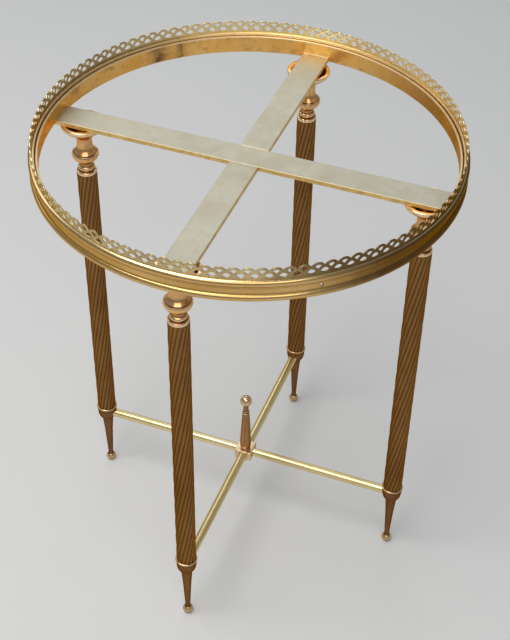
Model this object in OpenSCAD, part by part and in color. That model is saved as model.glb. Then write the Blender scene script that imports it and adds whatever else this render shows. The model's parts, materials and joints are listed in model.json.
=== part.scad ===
// Round brass side table frame with a pierced gallery rim, four twisted-reed legs and a rod stretcher.
// Millimetres. +Z up. Origin on the floor, on the centre line of the frame.
// The crossed bars lie along X and Y. The front leg is at -Y, right at +X, back at +Y, left at -X.
// The stone, mirror or tray top is absent: it would rest on the crossed bars inside the hoop.

/* [Hoop and rim] */
// inside radius of the flat hoop that locates the top
hoop_r = 208; // [120:1:300]
// thickness of the flat hoop
hoop_t = 2.4; // [1.5:0.1:5]
// height of the bottom edge of the hoop
hoop_z0 = 513; // [300:0.5:800]
// how far the wall of the hoop steps back below the seat of the top
seat_relief = 0.8; // [0.6:0.1:1.2]
// height of the lip of the hoop
hoop_z1 = 531.7; // [310:0.1:820]
// how far the outer moulding stands out from the hoop
mould_out = 7.0; // [4:0.1:15]
// height of the bottom edge of the moulding
mould_z0 = 511; // [300:0.5:800]
// height of the top ledge of the moulding
mould_z1 = 534.9; // [310:0.1:830]
// radius of the rounded ribs on the moulding
rib_r = 3.9; // [2:0.1:6]
// width of the butt joint where the strips of the rim meet
seam_w = 0.4; // [0.2:0.1:1.5]
// angle of that joint round the rim
seam_a = 132; // [0:1:359]
// angle of the fixing screw round the rim
screw_a = -52; // [-180:1:180]
// shank diameter of the fixing screw
screw_d = 2.6; // [1.5:0.1:4]

/* [Gallery] */
// inside radius of the pierced strip
gal_r = 213.2; // [150:0.1:310]
// thickness of the pierced strip
gal_t = 1.2; // [0.6:0.1:2]
// height of the top of the scallops
gal_z1 = 548.4; // [320:0.1:850]
// how deep the strip sits in the slot of the moulding
gal_sink = 4.5; // [2:0.1:8]
// number of scallops round the rim
gal_n = 108; // [48:1:144]

/* [Crossed bars] */
// width of each flat bar
bar_w = 30; // [15:0.5:60]
// thickness of each flat bar
bar_t = 5; // [3:0.5:10]
// height of the top face of the bars, where the top rests
bar_z = 517; // [300:0.5:800]
// leg of the solder fillet at each bar end, and of the chamfer it fills
solder_s = 0.9; // [0.5:0.1:0.9]

/* [Legs] */
// distance from the centre line to each leg axis
leg_r = 184; // [100:1:250]
// radius over the reeds of a leg tube
reed_r = 10.9; // [6:0.1:18]
// depth of the grooves between the reeds
reed_d = 0.95; // [0.3:0.05:2]
// number of reeds round a leg
reed_n = 14; // [8:1:24]
// turn of the reeds from the bottom to the top of a leg, in degrees
reed_turn = 367; // [0:1:720]
// height of the bottom of a leg tube
tube_z0 = 98.4; // [40:0.5:200]
// height of the top of a leg tube
tube_z1 = 449.8; // [200:0.5:700]
// bore radius of a leg tube
tube_bore = 8.2; // [3:0.1:9]
// radius of the spigots that hold a leg tube
spigot_r = 8; // [2:0.1:8.9]
// length of those spigots
spigot_l = 12; // [5:1:30]
// radius of the ball on the floor
ball_r = 5.7; // [3:0.1:12]

/* [Stretcher] */
// diameter of each stretcher rod
rod_d = 10; // [4:0.5:12]
// height of the axis of the rods
rod_z = 87.6; // [60:0.1:200]
// side of the square hub block
hub_s = 20.5; // [12:0.5:40]
// height of the hub block
hub_h = 12.6; // [9:0.1:30]
// how deep each rod end sits in its blind hole
rod_sink = 4.5; // [2:0.5:5]
// diameter of the threaded shank of the finial
shank_d = 5; // [3:0.5:8]

/* [Hidden] */
$fn = 96;
hoop_ro = hoop_r + hoop_t;
mould_ri = hoop_ro;
rib_x = hoop_ro + mould_out - rib_r;
hub_top = rod_z + hub_h / 2;
hub_bot = rod_z - hub_h / 2;
rod_l = leg_r - hub_s / 2 - 11.5 + 2 * rod_sink;
pitch = 360 / gal_n;
brass = [0.80, 0.62, 0.30];
old_brass = [0.60, 0.42, 0.20];
copper = [0.70, 0.46, 0.30];
pale = [0.88, 0.80, 0.58];

// points of an arc in a profile, centre (x, y), radius r, from angle a to angle b in n steps
function arc(x, y, r, a, b, n) = [for (i = [0 : n]) [x + r * cos(a + (b - a) * i / n), y + r * sin(a + (b - a) * i / n)]];

// the narrow cut of the butt joint, from radius r0 outward
module seam_cut(r0, z0, z1) {
    rotate([0, 0, seam_a]) translate([r0, -seam_w / 2, z0]) cube([20, seam_w, z1 - z0]);
}

module screw_hole() {
    rotate([0, 0, screw_a]) translate([hoop_r - 1, 0, (mould_z0 + mould_z1) / 2]) rotate([0, 90, 0]) cylinder(h = 14, d = screw_d, $fn = 32);
}

// flat hoop with an eased lip
module rim_hoop() {
    color(old_brass) difference() {
        rotate_extrude($fn = 240) polygon(concat(
            [[hoop_r, bar_z], [hoop_r + seat_relief, bar_z], [hoop_r + seat_relief, hoop_z0], [hoop_ro, hoop_z0]],
            arc(hoop_ro - 0.5, hoop_z1 - 0.5, 0.5, 0, 90, 3),
            arc(hoop_r + 0.5, hoop_z1 - 0.5, 0.5, 90, 180, 3)));
        screw_hole();
    }
}

// outer moulding: two rounded ribs with a flat band between, a slot for the gallery and a groove by the hoop
module rim_moulding() {
    color(brass) difference() {
        rotate_extrude($fn = 240) polygon(concat(
            [[mould_ri, mould_z0 + 0.6], [mould_ri + 0.6, mould_z0]],
            arc(rib_x, mould_z0 + 4.2, rib_r, -78, 62, 10),
            [[rib_x + 1.4, mould_z0 + 8.3], [rib_x + 1.4, mould_z1 - 8.6], [rib_x + 2.1, mould_z1 - 8.2], [rib_x + 2.1, mould_z1 - 7.2]],
            arc(rib_x, mould_z1 - 3.9, rib_r, -48, 76, 10),
            [[gal_r + gal_t, mould_z1], [gal_r + gal_t, mould_z1 - gal_sink], [gal_r, mould_z1 - gal_sink], [gal_r, mould_z1],
             [hoop_ro + 1.1, mould_z1 - 0.2], [hoop_ro + 0.7, mould_z1 - 0.8], [hoop_ro + 0.7, hoop_z1 - 3.4], [mould_ri, hoop_z1 - 4]]));
        seam_cut(mould_ri - 1, mould_z0 - 1, mould_z1 + 1);
        screw_hole();
    }
}

// a radial prism drawn in arc length and height at the middle of the strip
module pierce(a, pts) {
    rotate([0, 0, a]) translate([gal_r - 2, 0, 0]) rotate([90, 0, 90]) linear_extrude(height = gal_t + 4) polygon(pts);
}

// pierced strip with scalloped top, a row of eye-shaped holes and a staggered row of fan-shaped holes
module gallery_strip() {
    z = gal_z1;
    eye = [[-3.85, z - 9.15], [-2.0, z - 10.9], [2.0, z - 10.9], [3.85, z - 9.15], [1.8, z - 6.45], [-1.8, z - 6.45]];
    fan = [[0, z - 7.1], [2.9, z - 4.5], [1.9, z - 2.5], [-1.9, z - 2.5], [-2.9, z - 4.5]];
    cusp = [[0, z - 3.6], [2.2, z - 1.25], [4.9, z - 0.1], [4.9, z + 2], [-4.9, z + 2], [-4.9, z - 0.1], [-2.2, z - 1.25]];
    color(brass) difference() {
        rotate_extrude($fn = 240) translate([gal_r, mould_z1 - gal_sink]) square([gal_t, gal_z1 - mould_z1 + gal_sink]);
        for (i = [0 : gal_n - 1]) {
            pierce(i * pitch, eye);
            pierce((i + 0.5) * pitch, fan);
            pierce(i * pitch, cusp);
        }
        seam_cut(gal_r - 1, mould_z1 - gal_sink - 1, gal_z1 + 1);
    }
}

// domed screw through the flat band into the hoop
module rim_screw() {
    color(copper) rotate([0, 0, screw_a]) translate([0, 0, (mould_z0 + mould_z1) / 2]) rotate([0, 90, 0]) {
        translate([0, 0, hoop_r + 0.2]) cylinder(h = rib_x + 1.4 - hoop_r - 0.2, d = screw_d, $fn = 32);
        translate([0, 0, rib_x + 1.4]) rotate_extrude($fn = 48) polygon(concat([[0, 0], [2.3, 0]], arc(0, -1.3, 2.65, 29.5, 90, 5)));
    }
}

// flat bar between the walls of the hoop, along X, with the top edge of each end chamfered for the solder
module bar_blank() {
    intersection() {
        translate([-hoop_r - 2, -bar_w / 2, bar_z - bar_t]) cube([2 * hoop_r + 4, bar_w, bar_t]);
        rotate_extrude($fn = 240) polygon([[0, bar_z - bar_t - 1], [hoop_r + seat_relief, bar_z - bar_t - 1], [hoop_r + seat_relief, bar_z - seat_relief - solder_s], [hoop_r - solder_s, bar_z], [hoop_r - solder_s, bar_z + 1], [0, bar_z + 1]]);
    }
}

// left to right bar, notched from below at the crossing
module cross_bar_left_right() {
    color(pale) difference() {
        bar_blank();
        translate([-bar_w / 2, -bar_w / 2 - 1, bar_z - bar_t - 1]) cube([bar_w, bar_w + 2, bar_t / 2 + 1]);
    }
}

// front to back bar, notched from above at the crossing
module cross_bar_front_back() {
    color(pale) rotate([0, 0, 90]) difference() {
        bar_blank();
        translate([-bar_w / 2, -bar_w / 2 - 1, bar_z - bar_t / 2]) cube([bar_w, bar_w + 2, bar_t / 2 + 1]);
    }
}

// bead of solder that fills the chamfer of a bar end and runs up the wall of the hoop
module solder(a) {
    color(copper) rotate([0, 0, a]) intersection() {
        rotate_extrude($fn = 240) polygon([[hoop_r + seat_relief, bar_z - seat_relief - solder_s], [hoop_r + seat_relief, bar_z], [hoop_r, bar_z], [hoop_r, bar_z + solder_s], [hoop_r - solder_s * 0.45, bar_z + solder_s * 0.4], [hoop_r - solder_s, bar_z]]);
        translate([hoop_r - 10, -bar_w / 2, bar_z - 5]) cube([12, bar_w, 10]);
    }
}
module solder_right() { solder(0); }
module solder_back() { solder(90); }
module solder_left() { solder(180); }
module solder_front() { solder(270); }

// place a leg piece at a quarter turn
module at_leg(a) { rotate([0, 0, a]) translate([leg_r, 0, 0]) children(); }

// turned capital: dished saucer, hollow waist, bulb with a creased roll, small torus and flange, with a spigot below
module capital() {
    b = bar_z - bar_t;
    t = tube_z1;
    color(copper) rotate_extrude($fn = 72) polygon(concat(
        [[0, t - spigot_l], [spigot_r - 0.8, t - spigot_l], [spigot_r, t - spigot_l + 0.8], [spigot_r, t], [10.3, t], [10.7, t + 0.5], [10.7, t + 3.0], [10.3, t + 3.7], [8.6, t + 4.1], [8.2, t + 4.6]],
        arc(6.1, t + 7.1, 2.9, -38, 62, 5),
        [[7.0, t + 10.4], [6.9, t + 12.2], [7.8, t + 14.5], [9.6, t + 16.2], [11.6, t + 17.9], [13.2, t + 20.0], [14.1, t + 22.2], [14.3, t + 23.6], [14.0, t + 25.2], [13.5, t + 26.2]],
        [[12.2, t + 26.5], [12.5, t + 27.1], [11.2, t + 28.7], [9.3, t + 31.4], [8.4, t + 34.8], [8.1, t + 39.0], [8.4, t + 43.4], [9.8, t + 46.8], [12.8, t + 50.0], [17.0, t + 53.0], [21.2, t + 56.4]],
        [[23.0, t + 59.1], [23.4, t + 60.6], [23.3, b - 0.5], [22.8, b], [19.6, b], [18.4, b - 0.9], [16.0, b - 2.2], [13.0, b - 2.8], [9.0, b - 2.8], [8.4, b], [0, b]]));
}
module leg_right_capital() { at_leg(0) capital(); }
module leg_back_capital() { at_leg(90) capital(); }
module leg_left_capital() { at_leg(180) capital(); }
module leg_front_capital() { at_leg(270) capital(); }

// twisted-reed tube with a plain bore
module reeded_tube(a0) {
    color(old_brass) translate([0, 0, tube_z0]) difference() {
        rotate([0, 0, a0]) linear_extrude(height = tube_z1 - tube_z0, twist = -reed_turn, slices = 25)
            polygon([for (i = [0 : reed_n - 1]) for (k = [0 : 2]) let (r = k == 0 ? reed_r - reed_d : reed_r, a = (i + [0, 0.33, 0.67][k]) * 360 / reed_n) [r * cos(a), r * sin(a)]]);
        translate([0, 0, -1]) cylinder(h = tube_z1 - tube_z0 + 2, r = tube_bore, $fn = 48);
    }
}
module leg_right_tube() { at_leg(0) reeded_tube(0); }
module leg_back_tube() { at_leg(90) reeded_tube(0); }
module leg_left_tube() { at_leg(180) reeded_tube(0); }
module leg_front_tube() { at_leg(270) reeded_tube(0); }

// turned foot: spigot, lip, cup-shaped collar, narrow ring, tapering spindle and ball, with a blind side hole for the rod
module foot() {
    t = tube_z0;
    color(copper) difference() {
        rotate_extrude($fn = 72) polygon(concat(
            arc(0, ball_r, ball_r, -60, 58, 12),
            [[3.0, 11.4], [2.9, 13.2], [3.0, 16.0], [3.6, 28.0], [4.3, 43.0], [4.9, 55.0], [5.4, 62.0], [5.8, 67.0], [6.1, 71.0], [6.2, 75.4], [6.7, 75.9], [7.2, 76.9], [7.4, 78.2], [7.2, 79.0]],
            [[7.6, 79.4], [9.0, 80.5], [10.2, 82.6], [11.0, 86.0], [11.4, 90.5], [11.5, t - 4.0], [12.0, t - 3.2], [12.2, t - 2.4], [12.2, t - 1.2], [11.8, t - 0.3], [11.2, t]],
            [[spigot_r, t], [spigot_r, t + spigot_l - 0.8], [spigot_r - 0.8, t + spigot_l], [0, t + spigot_l], [0, 0.76]]));
        translate([-12.5, 0, rod_z]) rotate([0, 90, 0]) cylinder(h = 1 + rod_sink, d = rod_d, $fn = 48);
    }
}
module leg_right_foot() { at_leg(0) foot(); }
module leg_back_foot() { at_leg(90) foot(); }
module leg_left_foot() { at_leg(180) foot(); }
module leg_front_foot() { at_leg(270) foot(); }

// round stretcher rod from the hub to a foot
module rod() {
    color(pale) translate([hub_s / 2 - rod_sink, 0, rod_z]) rotate([0, 90, 0]) cylinder(h = rod_l, d = rod_d, $fn = 48);
}
module stretcher_rod_right() { rotate([0, 0, 0]) rod(); }
module stretcher_rod_back() { rotate([0, 0, 90]) rod(); }
module stretcher_rod_left() { rotate([0, 0, 180]) rod(); }
module stretcher_rod_front() { rotate([0, 0, 270]) rod(); }

// square hub with four blind rod holes and a clear hole for the finial
module stretcher_hub() {
    color(copper) difference() {
        translate([-hub_s / 2, -hub_s / 2, hub_bot]) cube([hub_s, hub_s, hub_h]);
        for (a = [0 : 90 : 270]) rotate([0, 0, a]) translate([hub_s / 2 - rod_sink, 0, rod_z]) rotate([0, 90, 0]) cylinder(h = rod_sink + 1, d = rod_d, $fn = 48);
        translate([0, 0, hub_bot - 1]) cylinder(h = hub_h + 2, d = shank_d, $fn = 48);
    }
}

// turned finial with a shank through the hub
module finial() {
    h = hub_top;
    color(copper) rotate_extrude($fn = 72) polygon(concat(
        [[0, hub_bot - 6], [shank_d / 2, hub_bot - 6], [shank_d / 2, h], [4.6, h], [5.4, h + 0.5], [6.1, h + 2.2], [6.5, h + 5.0], [6.6, h + 8.5], [6.3, h + 16.0], [5.6, h + 32.0], [4.7, h + 48.0], [4.1, h + 58.4], [3.4, h + 58.8], [3.3, h + 60.0], [3.7, h + 60.6], [3.7, h + 61.6], [3.1, h + 62.4], [2.9, h + 66.0], [3.3, h + 70.2]],
        arc(0, h + 77.2, 6.9, -56, 88, 14),
        [[0, h + 84.1]]));
}

// small turned nut under the hub
module pendant_nut() {
    h = hub_bot;
    color(copper) difference() {
        rotate_extrude($fn = 72) polygon(concat(
            [[0, h], [5.4, h], [5.6, h - 0.6], [5.6, h - 1.8], [4.9, h - 2.4]],
            arc(0, h - 5.6, 5.3, 28, -66, 9),
            [[1.6, h - 11.2], [1.2, h - 12.2], [0, h - 12.5]]));
        translate([0, 0, h - 7]) cylinder(h = 8, d = shank_d, $fn = 48);
    }
}

rim_hoop();
rim_moulding();
gallery_strip();
rim_screw();
cross_bar_left_right();
cross_bar_front_back();
solder_right();
solder_back();
solder_left();
solder_front();
leg_right_capital();
leg_right_tube();
leg_right_foot();
leg_back_capital();
leg_back_tube();
leg_back_foot();
leg_left_capital();
leg_left_tube();
leg_left_foot();
leg_front_capital();
leg_front_tube();
leg_front_foot();
stretcher_rod_right();
stretcher_rod_back();
stretcher_rod_left();
stretcher_rod_front();
stretcher_hub();
finial();
pendant_nut();
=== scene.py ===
import json
import math
import bpy
import bmesh
import numpy as np
from mathutils import Matrix, Vector, noise

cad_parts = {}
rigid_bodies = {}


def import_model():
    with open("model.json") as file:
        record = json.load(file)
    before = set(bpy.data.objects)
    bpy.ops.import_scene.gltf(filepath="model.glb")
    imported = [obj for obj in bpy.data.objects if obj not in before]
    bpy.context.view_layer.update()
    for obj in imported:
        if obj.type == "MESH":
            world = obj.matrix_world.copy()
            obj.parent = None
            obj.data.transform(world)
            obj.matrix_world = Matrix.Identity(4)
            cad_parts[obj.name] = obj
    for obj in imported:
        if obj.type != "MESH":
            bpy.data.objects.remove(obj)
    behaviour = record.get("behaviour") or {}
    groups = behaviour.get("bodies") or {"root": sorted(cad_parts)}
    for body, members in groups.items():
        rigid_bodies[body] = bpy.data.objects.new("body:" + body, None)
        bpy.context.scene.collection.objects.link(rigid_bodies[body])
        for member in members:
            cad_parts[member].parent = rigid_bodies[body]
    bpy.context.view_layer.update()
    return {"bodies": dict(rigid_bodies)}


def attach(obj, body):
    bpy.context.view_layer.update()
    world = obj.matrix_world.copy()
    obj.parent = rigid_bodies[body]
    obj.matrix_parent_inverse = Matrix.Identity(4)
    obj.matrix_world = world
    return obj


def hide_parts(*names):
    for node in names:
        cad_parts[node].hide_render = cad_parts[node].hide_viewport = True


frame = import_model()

BODY = list(frame["bodies"].keys())[0]
MM = 0.001
TAU = 2 * math.pi

# ---------------------------------------------------------------- sizes in millimetres, as in the CAD part
HOOP_R, HOOP_T, HOOP_Z0, HOOP_Z1 = 208.0, 2.4, 513.0, 531.7
HOOP_RO = HOOP_R + HOOP_T
MZ0, MZ1, RIB_R = 511.0, 534.9, 3.9
RIB_X = HOOP_RO + 7.0 - RIB_R
SEAM_A, SEAM_W, SCREW_A = 132.0, 0.4, -52.0
GAL_R, GAL_T, GAL_Z1, GAL_SINK, GAL_N = 213.2, 1.2, 548.4, 4.5, 108
BAR_W, BAR_T, BAR_Z, RELIEF = 30.0, 5.0, 517.0, 0.8
LEG_R, REED_R, REED_D, REED_N, REED_TURN = 184.0, 10.9, 0.95, 14, 367.0
TZ0, TZ1, BORE, SPIG = 98.4, 449.8, 8.2, 8.0
BALL_R, ROD_D, ROD_Z, HUB_S, HUB_H, ROD_SINK = 5.7, 10.0, 87.6, 20.5, 12.6, 4.5
HUB_TOP, HUB_BOT = ROD_Z + HUB_H / 2, ROD_Z - HUB_H / 2
LEGS = (("right", 0.0), ("back", 90.0), ("left", 180.0), ("front", 270.0))


# ---------------------------------------------------------------- materials
class Nodes:
    def __init__(self, name):
        self.mat = bpy.data.materials.new(name)
        self.mat.use_nodes = True
        self.t = self.mat.node_tree
        self.t.nodes.clear()
        self.out = self.t.nodes.new("ShaderNodeOutputMaterial")
        self.bsdf = self.t.nodes.new("ShaderNodeBsdfPrincipled")
        self.t.links.new(self.bsdf.outputs[0], self.out.inputs[0])
        tc = self.t.nodes.new("ShaderNodeTexCoord")
        self.obj = tc.outputs["Object"]

    def new(self, kind, **props):
        n = self.t.nodes.new(kind)
        for k, v in props.items():
            setattr(n, k, v)
        return n

    def put(self, socket, value):
        if hasattr(value, "is_output") or isinstance(value, bpy.types.NodeSocket):
            self.t.links.new(value, socket)
        else:
            socket.default_value = value

    def mapping(self, scale=(1, 1, 1), loc=(0, 0, 0), rot=(0, 0, 0), src=None):
        m = self.new("ShaderNodeMapping")
        self.put(m.inputs["Vector"], src if src is not None else self.obj)
        m.inputs["Location"].default_value = loc
        m.inputs["Rotation"].default_value = rot
        m.inputs["Scale"].default_value = scale
        return m.outputs[0]

    def noise(self, scale, detail=4.0, rough=0.55, vec=None, dist=0.0):
        n = self.new("ShaderNodeTexNoise")
        self.put(n.inputs["Vector"], vec if vec is not None else self.obj)
        n.inputs["Scale"].default_value = scale
        n.inputs["Detail"].default_value = detail
        n.inputs["Roughness"].default_value = rough
        n.inputs["Distortion"].default_value = dist
        return n.outputs["Fac"]

    def voronoi(self, scale, vec=None, feature="F1", out="Distance", rand=1.0):
        n = self.new("ShaderNodeTexVoronoi")
        n.feature = feature
        self.put(n.inputs["Vector"], vec if vec is not None else self.obj)
        n.inputs["Scale"].default_value = scale
        n.inputs["Randomness"].default_value = rand
        return n.outputs[out]

    def ramp(self, fac, stops, interp="LINEAR"):
        r = self.new("ShaderNodeValToRGB")
        r.color_ramp.interpolation = interp
        e = r.color_ramp.elements
        while len(e) < len(stops):
            e.new(0.5)
        for el, (p, c) in zip(e, stops):
            el.position = p
            el.color = (c, c, c, 1) if isinstance(c, (int, float)) else (*c, 1)
        self.put(r.inputs[0], fac)
        return r.outputs[0]

    def mix(self, fac, a, b, blend="MIX"):
        m = self.new("ShaderNodeMix", data_type="RGBA", blend_type=blend)
        self.put(m.inputs[0], fac)
        for i, v in ((6, a), (7, b)):
            if isinstance(v, tuple):
                m.inputs[i].default_value = (*v, 1)
            else:
                self.put(m.inputs[i], v)
        return m.outputs[2]

    def math(self, op, a, b=None, clamp=False):
        m = self.new("ShaderNodeMath", operation=op, use_clamp=clamp)
        self.put(m.inputs[0], a)
        if b is not None:
            self.put(m.inputs[1], b)
        return m.outputs[0]

    def attr(self, name):
        a = self.new("ShaderNodeAttribute", attribute_name=name)
        return a.outputs["Fac"]

    def sep(self, vec=None):
        s = self.new("ShaderNodeSeparateXYZ")
        self.put(s.inputs[0], vec if vec is not None else self.obj)
        return s.outputs

    def bump(self, height, strength, dist, chain=None):
        b = self.new("ShaderNodeBump")
        b.inputs["Strength"].default_value = strength
        b.inputs["Distance"].default_value = dist
        self.put(b.inputs["Height"], height)
        if chain is not None:
            self.put(b.inputs["Normal"], chain)
        return b.outputs[0]

    def finish(self, color, rough, normal=None, metallic=1.0, coat=0.0, coat_rough=0.2, tint=None):
        self.put(self.bsdf.inputs["Base Color"], color)
        self.put(self.bsdf.inputs["Roughness"], rough)
        self.bsdf.inputs["Metallic"].default_value = metallic
        if tint is not None:
            self.bsdf.inputs["Specular Tint"].default_value = (*tint, 1)
        if coat:
            self.bsdf.inputs["Coat Weight"].default_value = coat
            self.bsdf.inputs["Coat Roughness"].default_value = coat_rough
        if normal is not None:
            self.put(self.bsdf.inputs["Normal"], normal)
        return self.mat


def metal(name, base, light, dark, stain, rough=(0.25, 0.45), wear_and_sheen=(1.0, 0.86, 0.56), grain=None, stain_amt=0.45, groove=0.88, edge_amt=0.55, pits=0.35, scratch=0.4, seed=0.0, painted_side_shade=None, tint=None, ledge=None, bumps=1.0):
    """Aged brass: colour clouds, dark patina in hollows, brighter edges and crests that mix rubbed wear with painted
    highlight, specks, scratches and grain, plus an optional painted side shade and painted ledge sheen.
    """
    n = Nodes(name)
    off = n.mapping(loc=(seed * 1.37, seed * 0.71, seed * 2.13))
    big = n.noise(9.0, 5.0, 0.6, off)
    mid = n.noise(46.0, 6.0, 0.62, off, 0.6)
    fine = n.noise(420.0, 5.0, 0.7, off)
    col = n.mix(n.ramp(big, [(0.33, 0.0), (0.68, 1.0)]), base, light)
    col = n.mix(n.ramp(mid, [(0.52, 0.0), (0.74, stain_amt)]), col, stain)
    col = n.mix(n.ramp(fine, [(0.56, 0.0), (0.78, 0.45 * pits)]), col, dark)
    specks = n.voronoi(520.0, off)
    spot_on = n.ramp(n.noise(30.0, 2.0, 0.5, off), [(0.50, 0.0), (0.66, 1.0)])
    spots = n.math("MULTIPLY", n.ramp(specks, [(0.05, 1.0), (0.19, 0.0)]), spot_on)
    col = n.mix(n.math("MULTIPLY", spots, pits), col, dark)
    if groove:
        cav = n.attr("cav")
        hollow = n.ramp(n.math("ADD", cav, n.math("MULTIPLY", n.math("SUBTRACT", mid, 0.5), 0.35)), [(0.08, 1.0), (0.46, 0.0)])
        col = n.mix(n.math("MULTIPLY", hollow, groove), col, dark)
        edge = n.ramp(n.math("ADD", cav, n.math("MULTIPLY", n.math("SUBTRACT", mid, 0.5), 0.30)), [(0.62, 0.0), (0.98, 1.0)])
        col = n.mix(n.math("MULTIPLY", edge, edge_amt), col, wear_and_sheen)
    # painted shade: the sector marked by the attribute is darkened towards this colour, standing in for the side in
    # shade
    if painted_side_shade is not None:
        side_shade_mask = n.math("ADD", n.attr("painted_side_shade"), n.math("MULTIPLY", n.math("SUBTRACT", mid, 0.5), 0.5))
        col = n.mix(n.ramp(side_shade_mask, [(0.18, 0.0), (0.85, 0.92)]), col, painted_side_shade)
    # painted sheen: pale colour laid on the ledge
    if ledge is not None:
        la = n.attr("ledge")
        col = n.mix(n.math("MULTIPLY", la, n.ramp(mid, [(0.30, 0.85), (0.70, 0.55)])), col, ledge)
    lines = None
    if grain is not None:
        gv = n.mapping(scale=grain, loc=(seed, seed, seed))
        lines = n.noise(1.0, 3.0, 0.7, gv)
        col = n.mix(n.ramp(lines, [(0.40, 0.16), (0.62, 0.0)]), col, dark)
    r = n.ramp(mid, [(0.25, rough[0]), (0.75, rough[1])])
    r = n.math("ADD", r, n.math("MULTIPLY", spots, 0.25), clamp=True)
    if groove:
        r = n.math("ADD", r, n.math("MULTIPLY", hollow, 0.22), clamp=True)
        r = n.math("SUBTRACT", r, n.math("MULTIPLY", edge, 0.07), clamp=True)
    if ledge is not None:
        r = n.math("ADD", r, n.math("MULTIPLY", la, 0.14), clamp=True)
    nrm = n.bump(mid, 0.16 * bumps, 0.0006)
    nrm = n.bump(fine, 0.10 * bumps, 0.00012, nrm)
    nrm = n.bump(spots, 0.25, -0.00012, nrm)
    if lines is not None:
        nrm = n.bump(lines, 0.16, 0.00008, nrm)
    if scratch:
        sv = n.mapping(scale=(260, 22, 260), rot=(0.4, 0.9, 0.5))
        sc = n.ramp(n.noise(1.0, 2.0, 0.6, sv), [(0.665, 0.0), (0.69, 1.0)])
        nrm = n.bump(sc, 0.10 * scratch, -0.0001, nrm)
        r = n.math("ADD", r, n.math("MULTIPLY", sc, 0.08), clamp=True)
    return n.finish(col, r, nrm, tint=tint)


# rim: gold brass, lighter on the ribs through rubbed wear mixed with painted highlight, with painted shade darkening
# one side and a painted sheen on the ledge
M_RIM = metal("rim_brass", (0.60, 0.35, 0.10), (0.78, 0.50, 0.19), (0.15, 0.072, 0.02), (0.46, 0.23, 0.065),
              rough=(0.15, 0.27), wear_and_sheen=(0.98, 0.78, 0.44), seed=0.0, stain_amt=0.4, groove=0.5, painted_side_shade=(0.17, 0.078, 0.022), tint=(0.78, 0.57, 0.32),
              ledge=(0.91, 0.76, 0.47))
# gallery: the dark colour laid over its sectors is a painted shade
M_GAL = metal("gallery_brass", (0.78, 0.59, 0.27), (0.92, 0.76, 0.43), (0.20, 0.11, 0.04), (0.54, 0.34, 0.13),
              rough=(0.24, 0.38), wear_and_sheen=(0.96, 0.80, 0.48), seed=3.0, stain_amt=0.35, groove=0.4, edge_amt=0.4, painted_side_shade=(0.13, 0.064, 0.020), tint=(0.72, 0.50, 0.27))
M_TURN = metal("turned_bronze", (0.70, 0.365, 0.135), (0.88, 0.54, 0.24), (0.10, 0.040, 0.014), (0.42, 0.16, 0.060),
               rough=(0.14, 0.26), wear_and_sheen=(0.98, 0.82, 0.55), seed=7.0, stain_amt=0.5, edge_amt=0.6, tint=(0.90, 0.70, 0.48))
M_FOOT = metal("foot_bronze", (0.180, 0.084, 0.037), (0.275, 0.143, 0.069), (0.055, 0.024, 0.011), (0.18, 0.076, 0.040),
               rough=(0.22, 0.36), wear_and_sheen=(0.85, 0.60, 0.31), seed=13.0, stain_amt=0.5, edge_amt=0.7, tint=(0.52, 0.34, 0.22))
M_FINIAL = metal("finial_bronze", (0.33, 0.165, 0.065), (0.47, 0.265, 0.12), (0.075, 0.034, 0.015), (0.26, 0.105, 0.050),
                 rough=(0.16, 0.30), wear_and_sheen=(0.92, 0.70, 0.44), seed=15.0, stain_amt=0.5, edge_amt=0.7, tint=(0.65, 0.42, 0.26))
# tube: the lighter colour on the reed crests is a painted highlight
M_TUBE = metal("tube_brass", (0.210, 0.100, 0.031), (0.300, 0.155, 0.052), (0.060, 0.025, 0.009), (0.20, 0.080, 0.032),
               rough=(0.22, 0.36), wear_and_sheen=(0.52, 0.29, 0.115), seed=11.0, stain_amt=0.55, groove=0.42, edge_amt=0.38, tint=(0.54, 0.32, 0.17))
M_HUB = metal("hub_brass", (0.64, 0.45, 0.24), (0.82, 0.64, 0.42), (0.22, 0.13, 0.06), (0.52, 0.32, 0.17),
              rough=(0.24, 0.40), wear_and_sheen=(0.95, 0.80, 0.56), seed=19.0, stain_amt=0.4, edge_amt=0.5, tint=(0.9, 0.7, 0.5))
M_ROD = metal("rod_brass", (0.80, 0.62, 0.28), (0.92, 0.78, 0.43), (0.34, 0.21, 0.07), (0.58, 0.40, 0.14),
              rough=(0.25, 0.33), wear_and_sheen=(0.98, 0.90, 0.66), seed=17.0, stain_amt=0.3, pits=0.2, scratch=0.15, groove=0.0, edge_amt=0.0, tint=(0.85, 0.66, 0.36), bumps=0.1)
M_SOLDER = metal("solder", (0.46, 0.33, 0.18), (0.62, 0.48, 0.30), (0.17, 0.10, 0.05), (0.40, 0.24, 0.12),
                 rough=(0.32, 0.48), wear_and_sheen=(0.78, 0.64, 0.42), seed=23.0, groove=0.5)


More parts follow.
